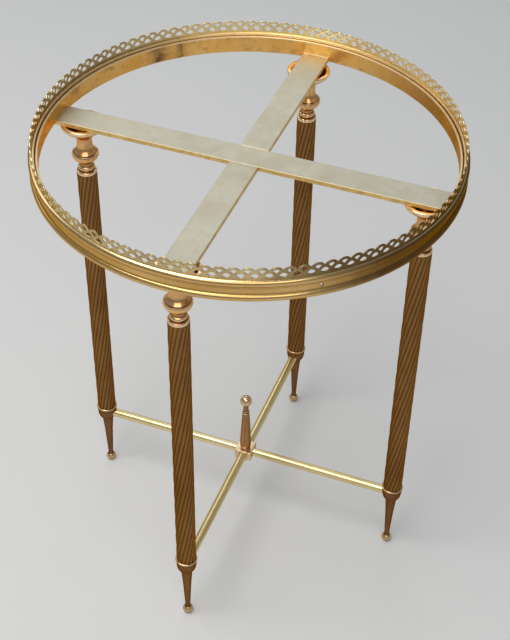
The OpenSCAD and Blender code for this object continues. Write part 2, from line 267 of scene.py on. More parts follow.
def bar_material():
    """Flat bars: pale top with long rubbing marks, golden sides; the top's paler, greyer tone is a painted sky
    reflection.
    """
    n = Nodes("bar_brass")
    x, y, z = n.sep()
    big = n.noise(13.0, 5.0, 0.6)
    mid = n.noise(70.0, 6.0, 0.65, None, 0.5)
    fine = n.noise(600.0, 4.0, 0.7)
    along = n.noise(1.0, 4.0, 0.7, n.mapping(scale=(16, 620, 300)))
    across = n.noise(1.0, 4.0, 0.7, n.mapping(scale=(620, 16, 300)))
    grain = n.mix(n.attr("alongy"), along, across)
    # painted reflection: the flat top gets a paler, greyer copy of the brass than the golden sides
    top = n.mix(n.ramp(big, [(0.34, 0.0), (0.66, 1.0)]), (0.62, 0.58, 0.44), (0.72, 0.69, 0.565))
    top = n.mix(n.ramp(mid, [(0.48, 0.0), (0.76, 0.42)]), top, (0.58, 0.51, 0.33))
    top = n.mix(n.ramp(n.noise(28.0, 3.0, 0.5, n.mapping(loc=(3.1, 1.2, 0.4))), [(0.58, 0.0), (0.74, 0.28)]), top, (0.72, 0.54, 0.42))
    top = n.mix(n.ramp(grain, [(0.30, 0.16), (0.50, 0.0)]), top, (0.50, 0.43, 0.28))
    side = n.mix(n.ramp(mid, [(0.36, 0.0), (0.66, 1.0)]), (0.86, 0.62, 0.25), (0.66, 0.44, 0.15))
    side = n.mix(n.ramp(n.noise(110.0, 4.0, 0.6), [(0.55, 0.0), (0.72, 0.8)]), side, (0.92, 0.72, 0.38))
    edge = n.attr("cav")
    col = n.mix(n.attr("topface"), side, top)
    col = n.mix(n.math("MULTIPLY", n.ramp(n.math("ADD", edge, n.math("MULTIPLY", n.math("SUBTRACT", mid, 0.5), 0.5)), [(0.55, 0.0), (0.95, 1.0)]), 0.6), col, (0.95, 0.78, 0.44))
    dark = n.ramp(fine, [(0.60, 0.0), (0.80, 0.35)])
    col = n.mix(dark, col, (0.33, 0.24, 0.12))
    r = n.math("ADD", n.ramp(mid, [(0.2, 0.40), (0.8, 0.56)]), n.math("MULTIPLY", grain, 0.10), clamp=True)
    nrm = n.bump(grain, 0.09, 0.00008)
    nrm = n.bump(mid, 0.14, 0.0005, nrm)
    nrm = n.bump(fine, 0.12, 0.0001, nrm)
    return n.finish(col, r, nrm)


def hoop_material():
    """Flat hoop: orange brown patina inside with dark and copper patches, a bright lip that is a painted highlight, and
    one sector darkened as painted shade.
    """
    n = Nodes("hoop_brass")
    x, y, z = n.sep()
    big = n.noise(14.0, 5.0, 0.6)
    mid = n.noise(60.0, 6.0, 0.66, None, 0.8)
    fine = n.noise(500.0, 5.0, 0.7)
    col = n.mix(n.ramp(big, [(0.30, 0.0), (0.70, 1.0)]), (0.86, 0.44, 0.10), (0.97, 0.61, 0.20))
    col = n.mix(n.ramp(mid, [(0.52, 0.0), (0.74, 0.6)]), col, (0.42, 0.19, 0.05))
    col = n.mix(n.ramp(n.noise(34.0, 4.0, 0.6, n.mapping(loc=(5.0, 2.0, 1.0))), [(0.57, 0.0), (0.72, 0.7)]), col, (0.95, 0.70, 0.32))
    drip = n.noise(1.0, 4.0, 0.6, n.mapping(scale=(46, 46, 60)), 1.2)
    col = n.mix(n.ramp(drip, [(0.56, 0.0), (0.72, 0.5)]), col, (0.34, 0.15, 0.04))
    col = n.mix(n.ramp(fine, [(0.58, 0.0), (0.76, 0.5)]), col, (0.12, 0.06, 0.025))
    col = n.mix(n.math("MULTIPLY", n.attr("patch"), n.ramp(mid, [(0.34, 0.15), (0.56, 1.0)])), col, (0.13, 0.06, 0.035))
    col = n.mix(n.math("MULTIPLY", n.attr("pink"), n.ramp(mid, [(0.36, 0.75), (0.52, 0.0)])), col, (0.86, 0.52, 0.38))
    # painted shade: the sector marked by the attribute is darkened towards this brown
    col = n.mix(n.math("MULTIPLY", n.attr("painted_side_shade"), n.ramp(big, [(0.30, 0.75), (0.70, 0.45)])), col, (0.32, 0.155, 0.048))
    # painted highlight: the lip's bright colour stands in for the light it catches
    lip = n.ramp(n.math("ADD", n.attr("cav"), n.math("MULTIPLY", n.math("SUBTRACT", mid, 0.5), 0.5)), [(0.50, 0.0), (0.90, 1.0)])
    col = n.mix(n.math("MULTIPLY", lip, 0.85), col, (0.95, 0.78, 0.50))
    r = n.ramp(mid, [(0.25, 0.26), (0.75, 0.46)])
    r = n.math("ADD", r, n.math("MULTIPLY", lip, 0.06), clamp=True)
    nrm = n.bump(mid, 0.22, 0.0007)
    nrm = n.bump(fine, 0.12, 0.00012, nrm)
    nrm = n.bump(drip, 0.10, 0.0003, nrm)
    return n.finish(col, r, nrm, tint=(0.92, 0.60, 0.30))


M_BAR = bar_material()
M_HOOP = hoop_material()


# ---------------------------------------------------------------- mesh helpers
def add_object(name, verts, faces, mat, attrs=None, smooth=True, auto=None):
    me = bpy.data.meshes.new(name)
    me.from_pydata([(x * MM, y * MM, z * MM) for x, y, z in verts], [], faces)
    me.validate()
    for k, v in (attrs or {}).items():
        a = me.attributes.new(k, "FLOAT", "POINT")
        a.data.foreach_set("value", np.asarray(v, dtype=np.float32))
    me.materials.append(mat)
    me.polygons.foreach_set("use_smooth", [smooth] * len(me.polygons))
    me.update()
    o = bpy.data.objects.new(name, me)
    bpy.context.scene.collection.objects.link(o)
    return o


def fix_normals(o):
    bm = bmesh.new()
    bm.from_mesh(o.data)
    bmesh.ops.recalc_face_normals(bm, faces=bm.faces)
    bm.to_mesh(o.data)
    bm.free()


def sharpen(o, deg=35.0):
    """Marks edges sharper than deg so that turned steps stay crisp under smooth shading."""
    bm = bmesh.new()
    bm.from_mesh(o.data)
    lim = math.radians(deg)
    for e in bm.edges:
        e.smooth = not (len(e.link_faces) == 2 and e.calc_face_angle(0.0) > lim)
    bm.to_mesh(o.data)
    bm.free()


def painted_side_shade(o, lo=-62.0, hi=22.0, fade=24.0, amount=1.0):
    """Painted shade: a browner, darker sector between two angles round the centre line, standing in for the side that
    lies in shade.
    """
    me = o.data
    co = np.empty(len(me.vertices) * 3, np.float32)
    me.vertices.foreach_get("co", co)
    co = co.reshape(-1, 3)
    ang = np.degrees(np.arctan2(co[:, 1], co[:, 0]))
    mid, half = (lo + hi) / 2, (hi - lo) / 2
    d = np.abs((ang - mid + 180) % 360 - 180)
    v = np.clip((half + fade / 2 - d) / fade, 0, 1)
    v = v * v * (3 - 2 * v) * amount
    a = me.attributes.new("painted_side_shade", "FLOAT", "POINT")
    a.data.foreach_set("value", v.astype(np.float32))
    return o


def shade_gallery(o):
    """Painted shade: brown at the right, half brown at the left, lightly browned at the front and none at the back,
    following where the gallery lies in shade.
    """
    me = o.data
    co = np.empty(len(me.vertices) * 3, np.float32)
    me.vertices.foreach_get("co", co)
    co = co.reshape(-1, 3)
    ang = np.degrees(np.arctan2(co[:, 1], co[:, 0]))

    def sector(mid, half, fade, amount):
        d = np.abs((ang - mid + 180) % 360 - 180)
        v = np.clip((half + fade / 2 - d) / fade, 0, 1)
        return v * v * (3 - 2 * v) * amount
    v = np.maximum.reduce([sector(-24, 42, 44, 0.88), sector(-105, 45, 40, 0.40), sector(176, 42, 40, 0.55)])
    a = me.attributes.new("painted_side_shade", "FLOAT", "POINT")
    a.data.foreach_set("value", v.astype(np.float32))


def place(o, *nodes, slot=None):
    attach(o, BODY)
    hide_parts(*nodes)
    return o


def arc(x, y, r, a, b, n):
    return [(x + r * math.cos(math.radians(a + (b - a) * i / n)), y + r * math.sin(math.radians(a + (b - a) * i / n))) for i in range(n + 1)]


def refine(pts, step, closed=False):
    """Adds points along straight runs so that no run is longer than step."""
    out = []
    m = len(pts)
    for i in range(m if closed else m - 1):
        p, q = pts[i], pts[(i + 1) % m]
        k = max(1, int(math.ceil(math.dist(p, q) / step)))
        out += [(p[0] + (q[0] - p[0]) * j / k, p[1] + (q[1] - p[1]) * j / k) for j in range(k)]
    if not closed:
        out.append(pts[-1])
    return out


def soften(pts, r, keep=(), closed=False, min_turn=14.0, seg=3):
    """Rounds each corner of a profile with a small radius r."""
    out = []
    m = len(pts)
    for i, p in enumerate(pts):
        if (not closed and i in (0, m - 1)) or i in keep:
            out.append(p)
            continue
        a, c = pts[i - 1], pts[(i + 1) % m]
        u = Vector((a[0] - p[0], a[1] - p[1]))
        v = Vector((c[0] - p[0], c[1] - p[1]))
        if u.length < 1e-6 or v.length < 1e-6:
            continue
        turn = 180 - math.degrees(u.angle(v, 0.0))
        if turn < min_turn:
            out.append(p)
            continue
        d = min(r, u.length * 0.45, v.length * 0.45)
        p0 = Vector(p) + u.normalized() * d
        p1 = Vector(p) + v.normalized() * d
        for k in range(seg + 1):
            t = k / seg
            q = (1 - t) ** 2 * p0 + 2 * t * (1 - t) * Vector(p) + t * t * p1
            out.append((q.x, q.y))
    return out


def convexity(pts, closed=False, reach=2):
    """0 in hollows, 0.5 on straight runs, 1 on crests, for a profile with its inside on the left."""
    m = len(pts)
    val = [0.0] * m
    for i in range(m):
        if not closed and i in (0, m - 1):
            continue
        a, p, c = pts[i - 1], pts[i], pts[(i + 1) % m]
        u = (p[0] - a[0], p[1] - a[1])
        v = (c[0] - p[0], c[1] - p[1])
        cr = u[0] * v[1] - u[1] * v[0]
        ang = math.atan2(cr, u[0] * v[0] + u[1] * v[1])
        ln = (math.hypot(*u) + math.hypot(*v)) / 2 + 1e-6
        val[i] = ang / ln
    # spread by arc length
    s = [0.0]
    for i in range(1, m):
        s.append(s[-1] + math.dist(pts[i - 1], pts[i]))
    s = np.array(s)
    val = np.array(val)
    w = np.gradient(s) if m > 2 else np.ones(m)
    out = np.zeros(m)
    for i in range(m):
        k = np.exp(-((s - s[i]) / 0.8) ** 2)
        out[i] = (val * w * k).sum() / 0.9
    return np.clip(0.5 + out * 0.55, 0, 1)


def lathe(name, prof, mat, seg=96, centre=(0.0, 0.0), closed=False, cav=None, gap=None, wobble=0.0, seed=0.0):
    """Turned piece from a profile of (r, z) running upward on the outside. gap = (angle, width in mm) leaves a butt joint."""
    rz = list(prof)
    m = len(rz)
    ccw = convexity(rz, closed)
    if cav is not None:
        ccw = np.clip(ccw + np.array(cav), 0, 1)
    verts, att, faces = [], [], []
    ring = []
    full = gap is None
    if full:
        angs = [TAU * i / seg for i in range(seg)]
    else:
        g = gap[1] / max(r for r, _ in rz) / 2
        a0 = math.radians(gap[0])
        angs = [a0 + g + (TAU - 2 * g) * i / seg for i in range(seg + 1)]
    for j, (r, z) in enumerate(rz):
        if r < 1e-6:
            ring.append([len(verts)])
            verts.append((centre[0], centre[1], z))
            att.append(ccw[j])
            continue
        idx = []
        for a in angs:
            dr = 0.0
            if wobble:
                dr = -0.02 - wobble * abs(noise.noise(Vector((math.cos(a) * 1.7 + seed, math.sin(a) * 1.7, z * 0.02))))
            idx.append(len(verts))
            verts.append((centre[0] + (r + dr) * math.cos(a), centre[1] + (r + dr) * math.sin(a), z))
            att.append(ccw[j])
        ring.append(idx)
    pairs = [(j, (j + 1) % m) for j in range(m if closed else m - 1)]
    n = len(angs)
    for j, k in pairs:
        A, B = ring[j], ring[k]
        if len(A) == 1 and len(B) == 1:
            continue
        for i in range(n if full else n - 1):
            i2 = (i + 1) % n
            if len(A) == 1:
                faces.append((A[0], B[i2], B[i]))
            elif len(B) == 1:
                faces.append((A[i], A[i2], B[0]))
            else:
                faces.append((A[i], A[i2], B[i2], B[i]))
    if not full and closed:
        faces.append(tuple(ring[j][0] for j in range(m)))
        faces.append(tuple(ring[j][-1] for j in reversed(range(m))))
    o = add_object(name, verts, faces, mat, {"cav": att})
    fix_normals(o)
    sharpen(o, 40)
    return o


# ---------------------------------------------------------------- rim hoop
def make_hoop():
    prof = [(HOOP_R, BAR_Z), (HOOP_R + RELIEF, BAR_Z), (HOOP_R + RELIEF, HOOP_Z0 + 0.3), (HOOP_R + RELIEF + 0.3, HOOP_Z0), (HOOP_RO, HOOP_Z0)]
    prof += arc(HOOP_RO - 0.5, HOOP_Z1 - 0.5, 0.5, 0, 90, 5) + arc(HOOP_R + 0.5, HOOP_Z1 - 0.5, 0.5, 90, 180, 5)
    prof = refine(soften(prof, 0.12, closed=True), 1.6, True)
    o = lathe("rim_hoop_flat_ring", prof, M_HOOP, seg=420, closed=True)
    me = o.data
    co = np.empty(len(me.vertices) * 3, np.float32)
    me.vertices.foreach_get("co", co)
    co = co.reshape(-1, 3)
    ang = np.degrees(np.arctan2(co[:, 1], co[:, 0])) % 360
    z = co[:, 2] / MM
    # the lip band is raised towards 1 so it takes the painted highlight
    lip = np.clip((z - (HOOP_Z1 - 1.6)) / 1.2, 0, 1)
    cav = np.where(z > HOOP_Z1 - 1.8, 0.45 + 0.55 * lip, 0.45)
    me.attributes["cav"].data.foreach_set("value", cav.astype(np.float32))

    def spot(a0, w):
        d = (ang - a0 + 180) % 360 - 180
        return np.exp(-(d / w) ** 2)
    patch = np.clip(0.9 * spot(139, 2.6) + 0.8 * spot(132, 1.2) + 0.3 * spot(171, 2.5) + 0.3 * spot(112, 1.6) + 0.4 * spot(28, 3.0) + 0.4 * spot(214, 3.0), 0, 1)
    pink = np.clip((0.9 * spot(143, 2.2) + 0.4 * spot(60, 2.0)) * (z < HOOP_Z0 + 12), 0, 1)
    for k, v in (("patch", patch), ("pink", pink)):
        a = me.attributes.new(k, "FLOAT", "POINT")
        a.data.foreach_set("value", v.astype(np.float32))
    # painted shade over the sector from -58 to 66 degrees
    painted_side_shade(o, -58.0, 66.0, 40.0)
    return place(o, "rim_hoop", slot="hoop_brass")


# ---------------------------------------------------------------- rim moulding
def make_moulding():
    prof = [(HOOP_RO, MZ0 + 0.6), (HOOP_RO + 0.6, MZ0)]
    prof += arc(RIB_X, MZ0 + 4.2, RIB_R, -78, 62, 16)
    prof += [(RIB_X + 1.4, MZ0 + 8.3), (RIB_X + 1.4, MZ1 - 8.6), (RIB_X + 2.1, MZ1 - 8.2), (RIB_X + 2.1, MZ1 - 7.2)]
    prof += arc(RIB_X, MZ1 - 3.9, RIB_R, -48, 76, 16)
    prof += [(GAL_R + GAL_T, MZ1), (GAL_R + GAL_T, MZ1 - GAL_SINK), (GAL_R, MZ1 - GAL_SINK), (GAL_R, MZ1),
             (HOOP_RO + 1.1, MZ1 - 0.2), (HOOP_RO + 0.7, MZ1 - 0.8), (HOOP_RO + 0.7, HOOP_Z1 - 3.4), (HOOP_RO, HOOP_Z1 - 4)]
    prof = refine(soften(prof, 0.16, closed=True, min_turn=20), 1.8, True)
    o = lathe("rim_outer_moulding", prof, M_RIM, seg=420, closed=True, gap=(SEAM_A, SEAM_W), wobble=0.10)
    # painted shade: the sector from -46 to 24 degrees is darkened
    painted_side_shade(o, -46.0, 24.0, 46.0)
    me = o.data
    co = np.empty(len(me.vertices) * 3, np.float32)
    me.vertices.foreach_get("co", co)
    co = co.reshape(-1, 3) / MM
    cav = np.empty(len(me.vertices), np.float32)
    me.attributes["cav"].data.foreach_get("value", cav)
    r, z = np.hypot(co[:, 0], co[:, 1]), co[:, 2]
    # painted light: the groove between hoop and gallery is set to 0.66 so it takes no dark patina and a little of the
    # lighter edge colour, offsetting the shade that falls there
    cav = np.where((r < GAL_R + 0.1) & (z > HOOP_Z1 - 0.3), 0.66, cav)
    band = (r > RIB_X + 1.0) & (r < RIB_X + 1.9) & (z > MZ0 + 9) & (z < MZ1 - 9)
    cav = np.where(band, 0.5, cav)
    me.attributes["cav"].data.foreach_set("value", cav.astype(np.float32))
    # painted sheen: the upward-facing ledge inside the gallery gets a pale colour and a rougher finish, standing in for
    # its bright reflection
    led = np.clip((z - (HOOP_Z1 - 0.2)) / 0.4, 0, 1) * np.clip((GAL_R + 2.4 - r) / 0.8, 0, 1)
    a = me.attributes.new("ledge", "FLOAT", "POINT")
    a.data.foreach_set("value", led.astype(np.float32))
    return place(o, "rim_moulding", slot="rim_brass")


# ---------------------------------------------------------------- pierced gallery
def make_gallery():
    p = TAU * (GAL_R + GAL_T / 2) / GAL_N
    h = p / 2
    top = GAL_Z1
    half = [0.0, 0.9, 1.8, 2.6, 3.3, 3.85, 4.5, 5.3, h]
    cols = half + [p - s for s in reversed(half[1:-1])]

    def scallop(s):
        d = abs(s - h)
        return top - (7.2 - math.sqrt(7.2 ** 2 - min(d, 6.22) ** 2))

    def rows(s):
        e = min(abs(s), abs(p - s))
        f = abs(s - h)
        z0 = top - 9.15
        if e < 3.85:
            t = e / 3.85
            lo, hi = z0 - 1.9 * math.sqrt(max(0.0, 1 - t * t)) * (1 - 0.1 * t), z0 + 2.9 * (1 - t ** 1.9)
        else:
            lo = hi = z0
        z1 = top - 4.5
        if f < h - 3.35:
            t = f / (h - 3.35)
            flo, fhi = z1 - 2.6 * (1 - t ** 1.15), z1 + 2.1 * math.sqrt(max(0.0, 1 - t * t))
        else:
            flo = fhi = z1
        fhi = min(fhi, scallop(s) - 1.7)
        fhi = max(fhi, flo)
        return lo, hi, flo, fhi, scallop(s)

    base = [MZ1 - GAL_SINK, MZ1 + 0.15, MZ1 + 1.2]
    n_col = len(cols) * GAL_N
    index, verts, cav = {}, [], []
    seam = math.radians(SEAM_A)
    gapw = SEAM_W / (GAL_R + GAL_T / 2)

    def vert(c, z, tag, e):
        key = (c, tag)
        if key not in index:
            cell, k = divmod(c, len(cols))
            s = cell * p + (cols[k] if c < n_col else 0.0)
            a = seam + gapw / 2 + (TAU - gapw) * s / (p * GAL_N)
            index[key] = len(verts)
            r = GAL_R + GAL_T / 2
            verts.append((r * math.cos(a), r * math.sin(a), z))
            cav.append(e)
        return index[key]

    faces = []
    grid = []
    for c in range(n_col + 1):
        k = c % len(cols)
        lo, hi, flo, fhi, zt = rows(cols[k] if c < n_col else 0.0)
        same1, same2 = abs(hi - lo) < 1e-6, abs(fhi - flo) < 1e-6
        v = {}
        for i, z in enumerate(base):
            v[("b", i)] = vert(c, z, ("b", i), (0.45, 0.52, 0.6)[i])
        v["lo"] = vert(c, lo, "lo", 0.8)
        v["hi"] = v["lo"] if same1 else vert(c, hi, "hi", 0.8)
        zm = (hi + flo) / 2
        v["mid"] = vert(c, zm, "mid", 0.66)
        v["flo"] = vert(c, flo, "flo", 0.8)
        v["fhi"] = v["flo"] if same2 else vert(c, fhi, "fhi", 0.8)
        v["tm"] = vert(c, (fhi + zt) / 2, "tm", 0.72)
        v["top"] = vert(c, zt, "top", 0.95)
        grid.append(v)
    order = [(("b", 0), ("b", 1)), (("b", 1), ("b", 2)), (("b", 2), "lo"), ("hi", "mid"), ("mid", "flo"), ("fhi", "tm"), ("tm", "top")]
    for c in range(n_col):
        A, B = grid[c], grid[c + 1]
        for q, w in order:
            f = [A[q], B[q], B[w], A[w]]
            g = []
            for i in f:
                if i not in g:
                    g.append(i)
            if len(g) > 2:
                faces.append(tuple(g))
    o = add_object("gallery_pierced_strip", verts, faces, M_GAL, {"cav": cav})
    fix_normals(o)
    shade_gallery(o)
    m = o.modifiers.new("thick", "SOLIDIFY")
    m.thickness = GAL_T * MM
    m.offset = 0.0
    m.use_even_offset = False
    b = o.modifiers.new("edge", "BEVEL")
    b.width = 0.22 * MM
    b.segments = 2
    b.limit_method = "ANGLE"
    b.angle_limit = math.radians(50)
    return place(o, "gallery_strip", slot="rim_brass")


def make_screw():
    prof = [(0.0, HOOP_R + 0.2), (1.3, HOOP_R + 0.2), (1.3, RIB_X + 1.4), (2.3, RIB_X + 1.4), (2.36, RIB_X + 1.6)]
    prof += arc(0, RIB_X + 1.4 - 1.3, 2.65, 33, 90, 8)[:-1] + [(0.0, RIB_X + 1.4 + 1.35)]
    prof = refine(soften(prof, 0.08), 1.0)
    o = lathe("rim_domed_screw", prof, M_FINIAL, seg=32)
    a = math.radians(SCREW_A)
    zc = (MZ0 + MZ1) / 2 * MM
    m = Matrix.Translation((0, 0, zc)) @ Matrix.Rotation(a, 4, "Z") @ Matrix.Rotation(math.radians(90), 4, "Y")
    o.data.transform(m)
    return place(o, "rim_screw", slot="turned_bronze")


# ---------------------------------------------------------------- crossed bars
def make_bar(name, node, turned, notch_top):
    """Flat bar with rounded ends against the hoop, eased edges and a half-lap notch."""
    R = HOOP_R + RELIEF - 0.05
    w, z0, z1 = BAR_W / 2, BAR_Z - BAR_T, BAR_Z
    zm = BAR_Z - BAR_T / 2
    hw = w + 0.07
    xs = [-R] + list(np.linspace(-R + 6, -hw, 26)) + list(np.linspace(-hw, hw, 9))[1:-1] + list(np.linspace(hw, R - 6, 26)) + [R]
    ys = [-w, -w + 0.6, -w / 2, 0.0, w / 2, w - 0.6, w]
    bm = bmesh.new()
    lay = {}

    def V(i, j, level):
        key = (i, j, level)
        if key not in lay:
            x, y = xs[i], ys[j]
            if abs(x) >= R - 1e-6:
                x = math.copysign(math.sqrt(R * R - y * y), x)
            z = {"b": z0, "m": zm, "t": z1}[level]
            if abs(x) > hw + 1:
                y += 0.12 * noise.noise(Vector((x * 0.03, 5.0 if notch_top else 1.0, 0.0)))
            lay[key] = bm.verts.new((x * MM, y * MM, z * MM))
        return lay[key]
    nx, ny = len(xs), len(ys)
    inside = [abs((xs[i] + xs[i + 1]) / 2) < hw for i in range(nx - 1)]
    lev = lambda k: (("b", "m") if notch_top else ("m", "t")) if k else ("b", "t")
    for i in range(nx - 1):
        b, t = lev(inside[i])
        for j in range(ny - 1):
            bm.faces.new((V(i, j, t), V(i + 1, j, t), V(i + 1, j + 1, t), V(i, j + 1, t)))
            bm.faces.new((V(i, j + 1, b), V(i + 1, j + 1, b), V(i + 1, j, b), V(i, j, b)))
    full = not notch_top
    for i in range(nx - 1):
        for j in (0, ny - 1):
            levels = ("b", "m") if (inside[i] and notch_top) else ("m", "t") if inside[i] else ("b", "m", "t")
            for a, c in zip(levels, levels[1:]):
                q = (V(i, j, a), V(i + 1, j, a), V(i + 1, j, c), V(i, j, c))
                bm.faces.new(q if j == 0 else q[::-1])
    for i in (0, nx - 1):
        for j in range(ny - 1):
            for a, c in (("b", "m"), ("m", "t")):
                q = (V(i, j, a), V(i, j + 1, a), V(i, j + 1, c), V(i, j, c))
                bm.faces.new(q[::-1] if i == 0 else q)
    # cheeks of the notch
    for i in range(1, nx - 1):
        if inside[i - 1] != inside[i]:
            a, c = ("m", "t") if notch_top else ("b", "m")
            for j in range(ny - 1):
                q = (V(i, j, a), V(i, j + 1, a), V(i, j + 1, c), V(i, j, c))
                bm.faces.new(q if inside[i] else q[::-1])
    # top and bottom rows of faces that meet the side at mid height need the mid vertices: weld stray ones
    bmesh.ops.remove_doubles(bm, verts=bm.verts, dist=1e-7)
    bmesh.ops.recalc_face_normals(bm, faces=bm.faces)
    bmesh.ops.bevel(bm, geom=[e for e in bm.edges if len(e.link_faces) == 2 and e.calc_face_angle(0) > math.radians(50)],
                    offset=0.45 * MM, segments=3, profile=0.5, affect="EDGES", clamp_overlap=True)
    me = bpy.data.meshes.new(name)
    top, cav = [], []
    for v in bm.verts:
        nz = v.normal.z
        top.append(1.0 if nz > 0.55 else 0.0)
        cav.append(0.9 if 0.2 < abs(nz) < 0.97 and abs(v.co.z / MM - z1) < 0.6 else 0.5)
    if turned:
        bmesh.ops.rotate(bm, verts=bm.verts, cent=(0, 0, 0), matrix=Matrix.Rotation(math.pi / 2, 3, "Z"))
    bm.to_mesh(me)
    bm.free()
    for k, v in (("topface", top), ("cav", cav), ("alongy", [1.0 if turned else 0.0] * len(top))):
        a = me.attributes.new(k, "FLOAT", "POINT")
        a.data.foreach_set("value", v)
    me.materials.append(M_BAR)
    me.polygons.foreach_set("use_smooth", [True] * len(me.polygons))
    o = bpy.data.objects.new(name, me)
    bpy.context.scene.collection.objects.link(o)
    sharpen(o, 38)
    return place(o, node, slot="bar_brass")


def make_solder(label, angle, blob):
    """Uneven bead of solder along a bar end, swelling at one corner."""
    n, m = 60, 10
    verts, faces, cav = [], [], []
    rnd = 3.1 + angle
    for i in range(n + 1):
        t = i / n
        y = -BAR_W / 2 + 0.3 + (BAR_W - 0.6) * t
        s = 0.75 + 0.35 * noise.noise(Vector((y * 0.35, rnd, 0.0))) + 0.25 * noise.noise(Vector((y * 1.1, rnd, 4.0)))
        s += blob * math.exp(-((t - 0.03) / 0.07) ** 2) + 0.5 * blob * math.exp(-((t - 0.98) / 0.05) ** 2)
        s *= min(1.0, 0.25 + 8 * min(t, 1 - t))
        a = math.asin(max(-1, min(1, y / HOOP_R)))
        for j in range(m):
            q = j / (m - 1)
            ph = math.pi / 2 * q
            bulge = 0.62 + 0.38 * abs(math.cos(2 * ph))
            r = HOOP_R - s * 1.1 * math.cos(ph) * bulge
            z = BAR_Z + s * math.sin(ph) * bulge
            verts.append((r * math.cos(a), r * math.sin(a), z))
            cav.append(0.55 + 0.4 * math.sin(math.pi * q))
        verts.append(((HOOP_R + 0.02) * math.cos(a), (HOOP_R + 0.02) * math.sin(a), BAR_Z - 0.02))
        cav.append(0.3)
    k = m + 1
    for i in range(n):
        for j in range(k):
            faces.append((i * k + j, i * k + (j + 1) % k, (i + 1) * k + (j + 1) % k, (i + 1) * k + j))
    faces.append(tuple(range(k)))
    faces.append(tuple(n * k + j for j in reversed(range(k))))
    o = add_object("solder_bead_" + label, verts, faces, M_SOLDER, {"cav": cav})
    fix_normals(o)
    o.data.transform(Matrix.Rotation(math.radians(angle), 4, "Z"))
    return place(o, "solder_" + label, slot="solder")


# ---------------------------------------------------------------- legs
def capital_profile():
    b, t = BAR_Z - BAR_T, TZ1
    p = [(0, t - 12), (SPIG - 0.8, t - 12), (SPIG, t - 11.2), (SPIG, t), (10.3, t), (10.7, t + 0.5), (10.7, t + 3.0), (10.3, t + 3.7), (8.6, t + 4.1), (8.2, t + 4.6)]
    p += arc(6.1, t + 7.1, 2.9, -38, 62, 12)
    p += smooth_run([(7.0, t + 10.4), (6.9, t + 12.2), (7.8, t + 14.5), (9.6, t + 16.2), (11.6, t + 17.9), (13.2, t + 20.0), (14.1, t + 22.2), (14.3, t + 23.6), (14.0, t + 25.2), (13.5, t + 26.2)], 4)
    p += [(12.2, t + 26.5)]
    p += smooth_run([(12.5, t + 27.1), (11.2, t + 28.7), (9.3, t + 31.4), (8.4, t + 34.8), (8.1, t + 39.0), (8.4, t + 43.4), (9.8, t + 46.8), (12.8, t + 50.0), (17.0, t + 53.0), (21.2, t + 56.4), (23.0, t + 59.1), (23.4, t + 60.6)], 4)
    p += [(23.3, b - 0.5), (22.8, b), (19.6, b)]
    p += smooth_run([(19.6, b), (18.4, b - 0.9), (16.0, b - 2.2), (13.0, b - 2.8), (9.0, b - 2.8)], 4)[1:]
    p += [(8.4, b), (0, b)]
    return p


def smooth_run(pts, k):
    """Catmull-Rom through the points, k pieces a span."""
    out = []
    m = len(pts)
    for i in range(m - 1):
        p0, p1, p2, p3 = pts[max(0, i - 1)], pts[i], pts[i + 1], pts[min(m - 1, i + 2)]
        for j in range(k):
            t = j / k
            out.append(tuple(0.5 * (2 * p1[c] + (p2[c] - p0[c]) * t + (2 * p0[c] - 5 * p1[c] + 4 * p2[c] - p3[c]) * t * t + (3 * p1[c] - p0[c] - 3 * p2[c] + p3[c]) * t ** 3) for c in (0, 1)))
    out.append(pts[-1])
    return out


def foot_profile():
    t = TZ0
    p = [(0, 0.76)] + arc(0, BALL_R, BALL_R, -60, 58, 22)
    p += smooth_run([(3.0, 11.4), (2.9, 13.2), (3.0, 16.0), (3.6, 28.0), (4.3, 43.0), (4.9, 55.0), (5.4, 62.0), (5.8, 67.0), (6.1, 71.0), (6.2, 75.4)], 4)
    p += smooth_run([(6.7, 75.9), (7.2, 76.9), (7.4, 78.2), (7.2, 79.0)], 3)
    p += smooth_run([(7.6, 79.4), (9.0, 80.5), (10.2, 82.6), (11.0, 86.0), (11.4, 90.5), (11.5, t - 4.0)], 4)
    p += [(12.0, t - 3.2), (12.2, t - 2.4), (12.2, t - 1.2), (11.8, t - 0.3), (11.2, t)]
    p += [(SPIG, t), (SPIG, t + 11.2), (SPIG - 0.8, t + 12), (0, t + 12)]
    return p


